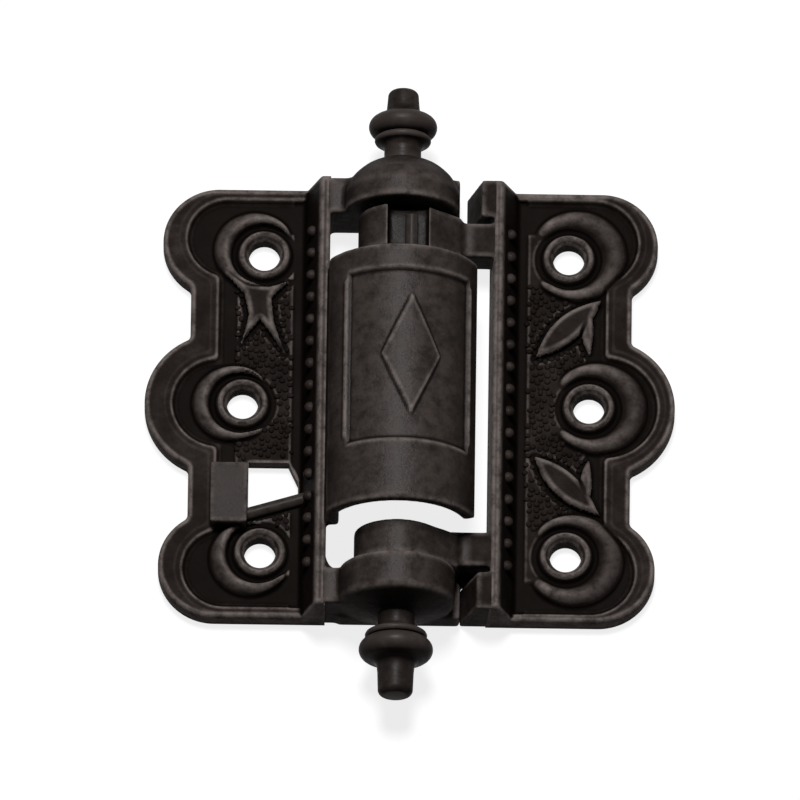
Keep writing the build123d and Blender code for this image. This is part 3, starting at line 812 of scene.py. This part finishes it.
def finish_tree(tree, given, place):
    real = tree.nodes.new("GeometryNodeRealizeInstances")
    paint = tree.nodes.new("GeometryNodeSetMaterial")
    join(
        tree,
        (place, "Instances", real, "Geometry"),
        (real, "Geometry", paint, "Geometry"),
        (given, "Finish", paint, "Material"),
        (paint, "Geometry", tree.nodes.new("NodeGroupOutput"), "Geometry"),
    )
    return tree


def grown_piece(name, tree, ground, **values):
    """Run a tree on a ground mesh, and keep what it makes as a plain piece."""
    values = {label.replace("_", " "): value for label, value in values.items()}
    holder = link_object(name + "_ground", ground)
    modifier = holder.modifiers.new(tree.name, "NODES")
    modifier.node_group = tree
    for item in tree.interface.items_tree:
        if item.in_out == "INPUT" and item.name in values:
            modifier[item.identifier] = values[item.name]
    return dress_mesh(plain_mesh(holder, name), name, 80)


print("material", CAST_IRON.name)

# %% [markdown]
# ## Rows of beads
# A row of small beads runs down the slope of each rib. The tree is a line of points at an even pitch
# with one small ball on each, half sunk in the slope.


# %% Bead rows
def bead_tree():
    tree, given = node_tree(
        "bead_row",
        ("Count", "Int"),
        ("First Bead", "Vector"),
        ("Pitch", "Float"),
        ("Bead Radius", "Float"),
    )
    step = tree.nodes.new("ShaderNodeCombineXYZ")
    line = tree.nodes.new("GeometryNodeMeshLine")
    bead = tree.nodes.new("GeometryNodeMeshIcoSphere")
    bead.inputs["Subdivisions"].default_value = 3
    smooth = tree.nodes.new("GeometryNodeSetShadeSmooth")
    place = tree.nodes.new("GeometryNodeInstanceOnPoints")
    join(
        tree,
        (given, "Pitch", step, "Y"),
        (given, "Count", line, "Count"),
        (given, "First Bead", line, "Start Location"),
        (step, "Vector", line, "Offset"),
        (given, "Bead Radius", bead, "Radius"),
        (bead, "Mesh", smooth, "Geometry"),
        (line, "Mesh", place, "Points"),
        (smooth, "Geometry", place, "Instance"),
    )
    return finish_tree(tree, given, place)


BEAD_COUNT, BEAD_PITCH, BEAD_R = 16, 3.4, 0.85
beads = bead_tree()
bead_rows = []
for name, leaf in (("frame_leaf_beads", FRAME_LEAF), ("door_leaf_beads", DOOR_LEAF)):
    reach = leaf["beads_at"]
    slope_z = float(rib_height(np.array([reach]), leaf["rib"])[0])
    first_x, first_y = float(across(leaf["side"], reach + 0.1)), -BEAD_PITCH * (BEAD_COUNT - 1) / 2
    row = grown_piece(
        name,
        beads,
        bpy.data.meshes.new(name + "_line"),
        Count=BEAD_COUNT,
        First_Bead=(first_x * MM, first_y * MM, (slope_z + 0.05) * MM),
        Pitch=BEAD_PITCH * MM,
        Bead_Radius=BEAD_R * MM,
        Finish=CAST_IRON,
    )
    bead_rows.append(row)

# %% [markdown]
# ## Pebbled ground
# The sunk ground round the foliage is stippled, so that the plain parts stand out. Points are spread
# over the faces that were marked while the plate was made, never closer than a set distance, and each
# gets a low dome. The seed is fixed, so the ground is the same in every run.


# %% Pebbles on the sunk ground
def pebble_tree():
    tree, given = node_tree(
        "pebbled_ground",
        ("Spacing", "Float"),
        ("Density", "Float"),
        ("Pebble Radius", "Float"),
        ("Seed", "Int"),
    )
    marked = tree.nodes.new("GeometryNodeInputNamedAttribute")
    marked.data_type = "FLOAT"
    marked.inputs["Name"].default_value = "pebbled"
    spread = tree.nodes.new("GeometryNodeDistributePointsOnFaces")
    spread.distribute_method = "POISSON"
    dome = tree.nodes.new("GeometryNodeMeshUVSphere")
    dome.inputs["Segments"].default_value = 8
    dome.inputs["Rings"].default_value = 4
    smooth = tree.nodes.new("GeometryNodeSetShadeSmooth")
    size = tree.nodes.new("FunctionNodeRandomValue")
    size.data_type = "FLOAT_VECTOR"
    size.inputs["Min"].default_value = (0.8, 0.8, 0.55)
    size.inputs["Max"].default_value = (1.15, 1.15, 0.85)
    place = tree.nodes.new("GeometryNodeInstanceOnPoints")
    join(
        tree,
        (given, "Geometry", spread, "Mesh"),
        (given, "Spacing", spread, "Distance Min"),
        (given, "Density", spread, "Density Max"),
        (marked, "Attribute", spread, "Density Factor"),
        (given, "Seed", spread, "Seed"),
        (given, "Seed", size, "Seed"),
        (given, "Pebble Radius", dome, "Radius"),
        (dome, "Mesh", smooth, "Geometry"),
        (spread, "Points", place, "Points"),
        (smooth, "Geometry", place, "Instance"),
        (size, "Value", place, "Scale"),
    )
    return finish_tree(tree, given, place)


PEBBLE_SPACING, PEBBLE_R, PEBBLE_DENSITY = 0.78, 0.46, 9.0e6
pebbles = pebble_tree()
pebble_fields = []
for name, plate, seed in (("frame_leaf_pebbles", frame_plate, 4), ("door_leaf_pebbles", door_plate, 9)):
    field = grown_piece(
        name,
        pebbles,
        plate.data.copy(),
        Spacing=PEBBLE_SPACING * MM,
        Density=PEBBLE_DENSITY,
        Pebble_Radius=PEBBLE_R * MM,
        Seed=seed,
        Finish=CAST_IRON,
    )
    pebble_fields.append(field)

# %% [markdown]
# ## Pins with turned finials
# The two pins end in finials that were turned on a lathe: a collar, a round bead, a bulb and a blunt
# tip. A lathe is also the way to make them here, with one profile swung about the axis.


# %% Turned pins
PIN_R, NECK_R, TIP_Y = 2.25, 2.65, 46.5


def bend_through(a, b, c, count=14):
    """Points on the circle through three profile points, without the first."""
    (ax, ay), (bx, by), (cx, cy) = a, b, c
    d = 2 * (ax * (by - cy) + bx * (cy - ay) + cx * (ay - by))
    sa, sb, sc = ax**2 + ay**2, bx**2 + by**2, cx**2 + cy**2
    ox = (sa * (by - cy) + sb * (cy - ay) + sc * (ay - by)) / d
    oy = (sa * (cx - bx) + sb * (ax - cx) + sc * (bx - ax)) / d
    angles = np.unwrap([math.atan2(y - oy, x - ox) for x, y in (a, b, c)])
    sweep = np.linspace(angles[0], angles[2], count)[1:]
    size = math.hypot(ax - ox, ay - oy)
    return [(ox + size * math.cos(t), oy + size * math.sin(t)) for t in sweep]


def pin_profile(inner_end, dome_y, y, r, stem_r):
    """Half outline of a pin, as radius and place, with its bulb of radius r at y."""
    profile = [(PIN_R - 0.2, inner_end), (PIN_R, inner_end + 0.2), (PIN_R, dome_y)]
    profile += [(NECK_R, dome_y), (NECK_R, y - 3.5)]
    profile += bend_through((NECK_R, y - 3.5), (NECK_R + 0.2, y - 2.95), (r - 1.45, y - 2.55), 8)
    profile += bend_through((r - 1.45, y - 2.5), (r - 0.85, y - 2.0), (r - 1.5, y - 1.5), 8)
    profile += bend_through((r - 1.5, y - 1.4), (r, y), (r - 1.4, y + 1.6))
    profile += [(stem_r + 0.85, y + 1.85), (stem_r + 0.4, y + 2.1), (stem_r + 0.22, y + 2.5)]
    profile += [(stem_r + 0.1, y + 3.6), (stem_r, TIP_Y - 0.75)]
    tip = bend_through((stem_r, TIP_Y - 0.75), (stem_r - 0.25, TIP_Y - 0.25), (stem_r - 0.8, TIP_Y), 8)
    return np.array(profile + tip)


def turned_pin(name, end, profile, segments=72):
    count = len(profile)
    points, faces = [], []
    low, high = segments * count, segments * count + 1
    for k in range(segments):
        a = 2 * math.pi * k / segments
        x, z = AXIS_X + profile[:, 0] * math.sin(a), AXIS_Z + profile[:, 0] * math.cos(a)
        points.append(np.column_stack([x, end * profile[:, 1], z]))
        here, there = k * count, ((k + 1) % segments) * count
        faces += [(here + i, here + i + 1, there + i + 1, there + i) for i in range(count - 1)]
        faces += [(low, here, there), (high, there + count - 1, here + count - 1)]
    points.append(np.array([[AXIS_X, end * y, AXIS_Z] for y in (profile[0, 1], TIP_Y)]))
    return make_piece(name, np.vstack(points), faces, 40)


top_pin = turned_pin("top_pin_turned", 1, pin_profile(-9.0, TOP_DOME_Y, 40.8, 4.9, 2.2))
bottom_pin = turned_pin("bottom_pin_turned", -1, pin_profile(21.9, BOTTOM_DOME_Y, 39.4, 5.3, 2.5))

# %% [markdown]
# ## The torsion spring
# One wire makes the spring: a straight tail that lies in the lug, a coil round the pin under the shield,
# and a short straight end that pushes on the upper barrel. A curve with a round bevel follows that path.

# %% The spring
WIRE_R, COIL_R, COIL_HIGH, TANG_Y, TANG_ANGLE = 0.95, 5.2, 18.2, 25.2, 16
COIL_TURNS = 9 + (180 - TANG_ANGLE) / 360
tail = TAIL_REACH * (1 - np.linspace(0, 1, 12)[:-1])
path = [(AXIS_X - reach, COIL_LOW - TAIL_SLOPE * reach, AXIS_Z - COIL_R) for reach in tail]
for t in np.linspace(0, 1, int(COIL_TURNS * 44)):
    a = math.pi - 2 * math.pi * COIL_TURNS * t
    y = COIL_LOW + (COIL_HIGH - COIL_LOW) * t
    path.append((AXIS_X + COIL_R * math.sin(a), y, AXIS_Z + COIL_R * math.cos(a)))
path += [(path[-1][0], y, path[-1][2]) for y in np.linspace(COIL_HIGH, TANG_Y, 10)[1:]]
wire = bpy.data.curves.new("spring_path", "CURVE")
wire.dimensions = "3D"
wire.bevel_depth = WIRE_R * MM
wire.bevel_resolution = 3
wire.use_fill_caps = True
line = wire.splines.new("POLY")
line.points.add(len(path) - 1)
for point, (x, y, z) in zip(line.points, path):
    point.co = (x * MM, y * MM, z * MM, 1)
spring = dress_mesh(plain_mesh(link_object("spring_path", wire), "spring_coil"), "spring_coil", 50)

# %% [markdown]
# ## Worn edges with a painted highlight, and painted shade in the corners
# The raised edges are painted a paler grey, a painted highlight that also stands for rubbed wear, and the
# corners a painted shade. How far each point stands out from its neighbours says which is which. The parts
# round the pin that face the front are painted lighter, a painted top light, and are a little polished where
# hands rub them; the notch of the upper barrel gets a painted shade. These are kept as marks on the mesh,
# and the materials read them.


# %% Mark the edges, the faces turned to the front and the notch
EDGE_BLUR = 3


def mark_edges(piece):
    points, normals, edges = mesh_arrays(piece.data)
    length = np.linalg.norm(points[edges[:, 0]] - points[edges[:, 1]], axis=1)
    step = np.median(length)
    edges = edges[length < 3 * step]
    out = ((points - neighbour_mean(points, edges)) * normals).sum(1) / step
    out = out[:, None]
    for _ in range(EDGE_BLUR):
        out = out * 0.5 + neighbour_mean(out, edges) * 0.5
    mark(piece, "wear_and_painted_light", np.clip(out[:, 0], -1, 1))
    return np.percentile(out, (1, 10, 50, 90, 99)).round(3)


def mark_top_light_and_notch_shade(piece):
    """1 where a part faces the front, for a painted top light and polish, and a painted shade in the notch of
    the barrel.
    """
    points, normals, _ = mesh_arrays(piece.data)
    x, y, z = points.T / MM - np.array([[AXIS_X], [0.0], [AXIS_Z]])
    front = ramp(normals[:, 2], 0.45, 1.0)
    by_the_pin = piece in (frame_hinge_side, door_hinge_side)
    # Faces turned to the front: a painted top light in the colour, and some polish.
    mark(piece, "polish_and_top_light", front * (1 - ramp(np.abs(x), 9.6, 11.0)) if by_the_pin else 0.75 * front)
    # The notch of the upper barrel: a painted shade.
    in_notch = (x > -NOTCH_LEFT - 0.3) & (x < NOTCH_RIGHT + 0.3) & (z > 2.5) & (z < NOTCH_FLOOR + 0.5)
    mark(piece, "painted_shade", in_notch & (y > TOP_BARREL_IN - 0.5))


top_lit_pieces = (frame_hinge_side, door_hinge_side, lug, top_pin, bottom_pin)
for piece in (*top_lit_pieces, *bead_rows):
    mark_top_light_and_notch_shade(piece)
for piece in (frame_plate, door_plate, *top_lit_pieces):
    print(piece.name, "edge marks", mark_edges(piece))

# %% [markdown]
# ## A bench for finishes
# A finish is a set of nodes: noises on the object's own coordinates, ranges, colour steps and mixes that
# end in one shader. These short calls lay the nodes and return their sockets, so that each finish below
# reads as a recipe.


# %% Helpers for finishes
class Finish:
    def __init__(self, material):
        material.use_nodes = True
        self.nodes, self.links = material.node_tree.nodes, material.node_tree.links
        self.nodes.clear()
        out = self.nodes.new("ShaderNodeOutputMaterial")
        self.skin = self.nodes.new("ShaderNodeBsdfPrincipled")
        self.links.new(self.skin.outputs["BSDF"], out.inputs["Surface"])
        self.place = self.nodes.new("ShaderNodeTexCoord").outputs["Object"]

    def give(self, label, source):
        self.links.new(source, self.skin.inputs[label])

    def noise(self, scale, detail, rough, stretch=None):
        place = self.place
        if stretch:
            mapping = self.nodes.new("ShaderNodeMapping")
            mapping.inputs["Scale"].default_value = stretch
            self.links.new(place, mapping.inputs["Vector"])
            place = mapping.outputs["Vector"]
        grain = self.nodes.new("ShaderNodeTexNoise")
        for label, value in (("Scale", scale), ("Detail", detail), ("Roughness", rough)):
            grain.inputs[label].default_value = value
        self.links.new(place, grain.inputs["Vector"])
        return grain.outputs["Fac"]

    def mark(self, label):
        marks = self.nodes.new("ShaderNodeAttribute")
        marks.attribute_name = label
        return marks.outputs["Fac"]

    def steps(self, source, *stops):
        steps = self.nodes.new("ShaderNodeValToRGB")
        while len(steps.color_ramp.elements) < len(stops):
            steps.color_ramp.elements.new(0.5)
        for element, (at, colour) in zip(steps.color_ramp.elements, stops):
            element.position = at
            element.color = (*colour, 1)
        self.links.new(source, steps.inputs["Fac"])
        return steps.outputs["Color"]

    def span(self, source, low, high, to_low, to_high):
        fit = self.nodes.new("ShaderNodeMapRange")
        for label, value in (("From Min", low), ("From Max", high), ("To Min", to_low), ("To Max", to_high)):
            fit.inputs[label].default_value = value
        self.links.new(source, fit.inputs["Value"])
        return fit.outputs["Result"]

    def maths(self, operation, first, second):
        node = self.nodes.new("ShaderNodeMath")
        node.operation = operation
        self.links.new(first, node.inputs[0])
        self.links.new(second, node.inputs[1])
        return node.outputs["Value"]

    def mix(self, factor, below, colour):
        """Lay a colour over another, as far as the factor says."""
        mix = self.nodes.new("ShaderNodeMix")
        mix.data_type = "RGBA"
        self.links.new(factor, mix.inputs["Factor"])
        first, second = [s for s in mix.inputs if s.type == "RGBA"]
        self.links.new(below, first)
        second.default_value = (*colour, 1)
        return next(s for s in mix.outputs if s.type == "RGBA")

    def bump(self, *layers):
        """Stack bumps of several scales, each a height source, a strength and a depth in metres."""
        before = None
        for source, strength, depth in layers:
            layer = self.nodes.new("ShaderNodeBump")
            layer.inputs["Strength"].default_value = strength
            layer.inputs["Distance"].default_value = depth
            self.links.new(source, layer.inputs["Height"])
            if before is not None:
                self.links.new(before, layer.inputs["Normal"])
            before = layer.outputs["Normal"]
        self.give("Normal", before)


print("finishes are laid on object coordinates")

# %% [markdown]
# ## Old cast iron
# The casting is brown-black: a thin old lacquer over iron, dull in the hollows and a little polished
# where hands and years have rubbed it. The colour wanders slowly over the surface and a finer noise gives
# the sandy skin of a casting. Faces turned to the front are painted lighter, a painted top light; the edge
# marks mix in a paler grey on the ridges, a painted highlight together with wear, and a painted shade in
# the corners; the low places, the rib's slope and the barrel's notch get a painted shade too.


# %% Cast iron
def paint_cast_iron(material):
    iron = Finish(material)
    cloud, patch, sand = iron.noise(160, 5, 0.6), iron.noise(520, 6, 0.68), iron.noise(2600, 3, 0.6)
    edge, polish_and_top_light, painted_shade = [iron.mark(label) for label in ("wear_and_painted_light", "polish_and_top_light", "painted_shade")]
    base = iron.steps(
        cloud,
        (0.30, (0.0120, 0.0087, 0.0075)),
        (0.52, (0.0225, 0.0170, 0.0150)),
        (0.72, (0.0400, 0.0316, 0.0286)),
    )
    # Painted top light: faces turned to the front are lighter.
    base = iron.mix(iron.span(polish_and_top_light, 0.0, 1.0, 0.0, 0.75), base, (0.058, 0.046, 0.042))
    base = iron.mix(iron.span(patch, 0.36, 0.60, 0.65, 0.0), base, (0.0085, 0.0061, 0.0052))
    # Painted shade in the low places, on the rib's slope and in the barrel's notch.
    base = iron.mix(iron.span(painted_shade, 0.0, 1.0, 0.0, 0.85), base, (0.0050, 0.0035, 0.0028))
    # Painted highlight on the ridges, in patches, together with wear.
    ridges, patches = iron.span(edge, 0.010, 0.10, 0.0, 0.9), iron.span(patch, 0.35, 0.6, 0.30, 1.0)
    base = iron.mix(iron.maths("MULTIPLY", ridges, patches), base, (0.175, 0.148, 0.138))
    # Painted shade in the creases and corners.
    base = iron.mix(iron.span(edge, -0.012, -0.08, 0.0, 0.92), base, (0.0028, 0.0019, 0.0015))
    iron.give("Base Color", base)
    dull, polish = iron.span(patch, 0.3, 0.7, 0.46, 0.62), iron.span(polish_and_top_light, 0.0, 1.0, 0.0, 0.16)
    iron.give("Roughness", iron.maths("SUBTRACT", dull, polish))
    iron.give("Specular IOR Level", iron.span(polish_and_top_light, 0.0, 1.0, 0.012, 0.085))
    iron.bump((patch, 0.55, 0.00030), (sand, 0.35, 0.00007))


paint_cast_iron(CAST_IRON)
print(CAST_IRON.name, len(CAST_IRON.node_tree.nodes), "nodes")

# %% [markdown]
# ## Turned iron and spring wire
# The pins are the same dark iron, but a lathe has left fine rings round them, so one noise is squeezed
# along the pin. The spring's wire is drawn, a little smoother, and browner where it has rusted.


# %% Pins and wire
def paint_turned_iron(material):
    iron = Finish(material)
    patch, turned = iron.noise(380, 5, 0.6), iron.noise(300, 3, 0.5, stretch=(1.0, 14.0, 1.0))
    edge, polish_and_top_light = iron.mark("wear_and_painted_light"), iron.mark("polish_and_top_light")
    base = iron.steps(
        patch,
        (0.3, (0.0120, 0.0090, 0.0078)),
        (0.55, (0.0230, 0.0178, 0.0158)),
        (0.75, (0.0440, 0.0350, 0.0318)),
    )
    # Painted shade in the grooves, and a painted highlight with some wear on the edges.
    base = iron.mix(iron.span(edge, -0.02, -0.15, 0.0, 0.92), base, (0.0035, 0.0025, 0.0020))
    base = iron.mix(iron.span(edge, 0.04, 0.2, 0.0, 0.6), base, (0.110, 0.090, 0.083))
    iron.give("Base Color", base)
    iron.give("Roughness", iron.span(turned, 0.3, 0.7, 0.30, 0.48))
    iron.give("Specular IOR Level", iron.span(polish_and_top_light, 0.0, 1.0, 0.012, 0.12))
    iron.bump((patch, 0.25, 0.0002), (turned, 0.2, 0.00008))
    return material


def paint_spring_wire(material):
    wire = Finish(material)
    patch = wire.noise(700, 5, 0.6)
    rust = [(0.3, (0.020, 0.016, 0.014)), (0.6, (0.042, 0.034, 0.031)), (0.8, (0.064, 0.048, 0.040))]
    wire.give("Base Color", wire.steps(patch, *rust))
    wire.give("Roughness", wire.span(patch, 0.3, 0.7, 0.30, 0.5))
    wire.skin.inputs["Specular IOR Level"].default_value = 0.06
    wire.bump((patch, 0.2, 0.00012))
    return material


TURNED_IRON = paint_turned_iron(bpy.data.materials.new("turned_iron"))
SPRING_WIRE = paint_spring_wire(bpy.data.materials.new("spring_wire"))
print(TURNED_IRON.name, "and", SPRING_WIRE.name)

# %% [markdown]
# ## Which piece moves with which side
# The plate, hinge side, lug, beads and pebbles of the frame leaf stay with the jamb, as do the pins. The
# door leaf's pieces swing. The spring is held by the lug at one end and by the barrel at the other; here it
# rides on neither side and stays where it is.


# %% Ride and stand in
def settle(piece, body, material, node):
    piece.data.materials.clear()
    piece.data.materials.append(material)
    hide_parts(node)
    if body:
        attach(piece, body)


for piece in (frame_plate, frame_hinge_side, lug, bead_rows[0], pebble_fields[0]):
    settle(piece, "frame_side", CAST_IRON, "frame_leaf")
for piece in (door_plate, door_hinge_side, bead_rows[1], pebble_fields[1]):
    settle(piece, "door_side", CAST_IRON, "door_leaf")
settle(top_pin, "frame_side", TURNED_IRON, "top_pin")
settle(bottom_pin, "frame_side", TURNED_IRON, "bottom_pin")
settle(spring, None, SPRING_WIRE, "spring")
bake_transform(spring)
print("the spring twists from y", COIL_LOW + 1.5, "to", COIL_HIGH + 0.5, "mm")

# %% [markdown]
# ## Floor and light
# The hinge lies on a plain sheet under one large soft lamp that hangs above the top of the picture, so
# the faces turned to the viewer stay dark and the relief is drawn by its own shadows. To the camera and
# to reflections the sheet is white; to the soft light in the room it is a grey, so the shadow under the
# iron remains.

# %% Floor
SHEET_HALF, SHEET_GREY, SHEET_WHITE, SHEET_Z = 12.0, 0.24, 0.82, -0.00005
sheet_mesh = bpy.data.meshes.new("floor_sheet")
corners = [(-1, -1), (1, -1), (1, 1), (-1, 1)]
sheet_mesh.from_pydata([(x * SHEET_HALF, y * SHEET_HALF, SHEET_Z) for x, y in corners], [], [(0, 1, 2, 3)])
paper_material = bpy.data.materials.new("white_paper")
paper = Finish(paper_material)
for label, value in (
    ("Base Color", (SHEET_GREY, SHEET_GREY, SHEET_GREY, 1)),
    ("Roughness", 0.9),
    ("Specular IOR Level", 0.0),
    ("Emission Color", (1, 1, 1, 1)),
):
    paper.skin.inputs[label].default_value = value
seen = paper.nodes.new("ShaderNodeLightPath").outputs
any_ray = seen["Is Camera Ray"]
for ray in ("Is Glossy Ray", "Is Transmission Ray"):
    any_ray = paper.maths("MAXIMUM", any_ray, seen[ray])
paper.give("Emission Strength", paper.span(any_ray, 0.0, 1.0, 0.0, SHEET_WHITE))
sheet_mesh.materials.append(paper_material)
floor = link_object("floor_sheet", sheet_mesh)
print("sheet", 2 * SHEET_HALF, "m wide")

# %% [markdown]
# ## World and lamp
# A faint white world lifts the deepest shadows a little. The lamp does the rest.

# %% World and lamp
LAMP_AT, LAMP_SIZE, LAMP_WATTS, WORLD_STRENGTH = (-0.03, 0.30, 0.90), 0.30, 9.0, 0.05
scene = bpy.context.scene
scene.world = bpy.data.worlds.new("studio")
scene.world.use_nodes = True
room = scene.world.node_tree.nodes["Background"]
room.inputs["Color"].default_value = (1, 1, 1, 1)
room.inputs["Strength"].default_value = WORLD_STRENGTH
light = bpy.data.lights.new("overhead", "AREA")
light.shape = "DISK"
light.size = LAMP_SIZE
light.energy = LAMP_WATTS
lamp = link_object("overhead", light)
lamp.location = LAMP_AT
lamp.rotation_euler = (-Vector(LAMP_AT)).to_track_quat("-Z", "Y").to_euler()
scene.view_settings.view_transform = "Standard"
print("lamp", LAMP_WATTS, "W")

# %% [markdown]
# ## Camera
# The photograph looks down on the hinge from about 68 degrees, from far enough away that the leaves
# keep their shape. The lens is picked so that the picture is 114.2 mm wide at the hinge.

# %% Camera
CAMERA_UP, CAMERA_ROLL, CAMERA_AWAY, PICTURE_WIDE, SENSOR = 68.0, 0.8, 4000.0, 114.2, 36.0
aim = Vector((-1.4, -1.155, 7.4)) * MM
up = math.radians(CAMERA_UP)
back = Vector((0.0, -math.cos(up), math.sin(up)))
lens = bpy.data.cameras.new("portrait")
lens.sensor_width = SENSOR
lens.lens = SENSOR * CAMERA_AWAY / PICTURE_WIDE
lens.clip_start = 0.01
camera = link_object("portrait", lens)
camera.location = aim + back * CAMERA_AWAY * MM
turn = (-back).to_track_quat("-Z", "Y") @ Quaternion((0, 0, 1), math.radians(CAMERA_ROLL))
camera.rotation_euler = turn.to_euler()
scene.camera = camera
print("lens", round(lens.lens), "mm")
